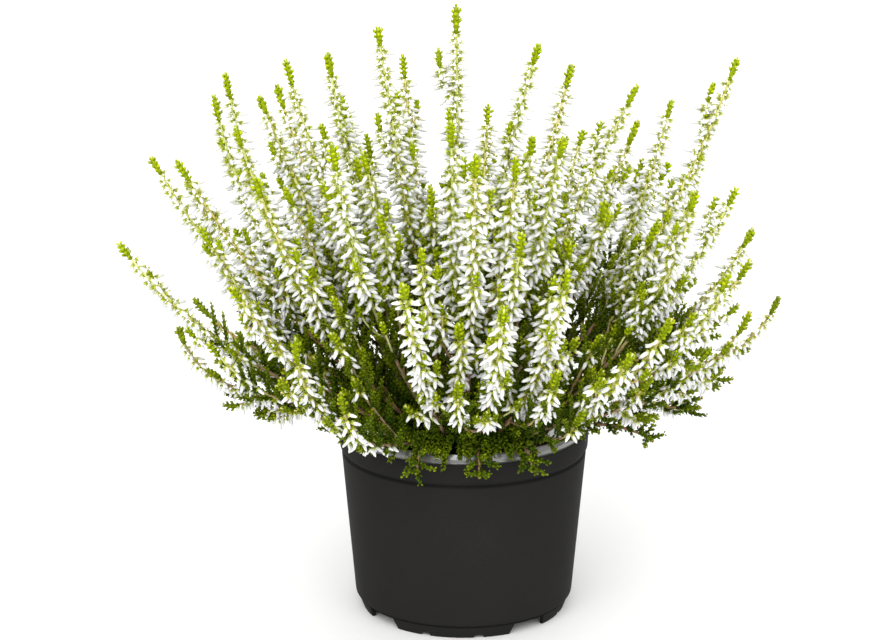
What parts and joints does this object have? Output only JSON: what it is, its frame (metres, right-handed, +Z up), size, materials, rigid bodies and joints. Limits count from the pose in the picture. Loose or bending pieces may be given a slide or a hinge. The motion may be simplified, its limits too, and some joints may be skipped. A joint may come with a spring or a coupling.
{
  "type": "potted heather",
  "caption": "Bud-flowering heather in a round tapered nursery pot: upright spikes of closed white buds fan out of the peat into a dome.",
  "frame": {"origin": "on the ground under the middle of the pot, which is the bottom centre of the bounding box", "axes": "+Z up along the pot's axis, -Y towards the side that is seen first, +X to the right from there; the plant is widest along X"},
  "size_m": [0.312, 0.296, 0.29],
  "materials": {
    "pot": "satin black, moulded, with a smoother lip",
    "peat": "rough, crumbly and fibrous",
    "flowers": "closed white buds with a yellow-green base",
    "leaves": "small overlapping scale leaves, satin",
    "tips": "fresh lime-green scale leaves, satin",
    "bark": "thin reddish-brown bark, fine and dull"
  },
  "bodies": {
    "root": {"pot": "pot", "soil": "peat", "stem_01": "flowers", "stem_02": "flowers", "stem_03": "flowers", "stem_04": "flowers", "stem_05": "flowers", "stem_06": "flowers", "stem_07": "flowers", "stem_08": "flowers", "stem_09": "flowers", "stem_10": "flowers", "stem_11": "flowers", "stem_12": "flowers", "stem_13": "flowers", "stem_14": "flowers", "stem_15": "flowers", "stem_16": "flowers", "stem_17": "flowers", "stem_18": "flowers", "stem_19": "flowers", "stem_20": "flowers", "stem_21": "flowers", "stem_22": "flowers", "stem_23": "flowers", "stem_24": "flowers", "stem_25": "flowers", "stem_26": "flowers", "stem_27": "flowers", "stem_28": "flowers", "stem_29": "flowers", "stem_30": "flowers", "stem_31": "flowers", "stem_32": "flowers", "stem_33": "flowers", "stem_34": "flowers", "stem_35": "flowers", "stem_36": "flowers", "stem_37": "flowers", "stem_38": "flowers", "stem_39": "flowers", "stem_40": "flowers", "stem_41": "flowers", "stem_42": "flowers", "stem_43": "flowers", "stem_44": "flowers", "stem_45": "flowers", "stem_46": "flowers", "stem_47": "flowers", "stem_48": "flowers", "stem_49": "flowers", "stem_50": "flowers", "stem_51": "flowers", "stem_52": "flowers", "leafy_shoot_01": "leaves", "leafy_shoot_02": "leaves", "leafy_shoot_03": "leaves", "leafy_shoot_04": "leaves", "leafy_shoot_05": "leaves", "leafy_shoot_06": "leaves"}
  },
  "joints": []
}
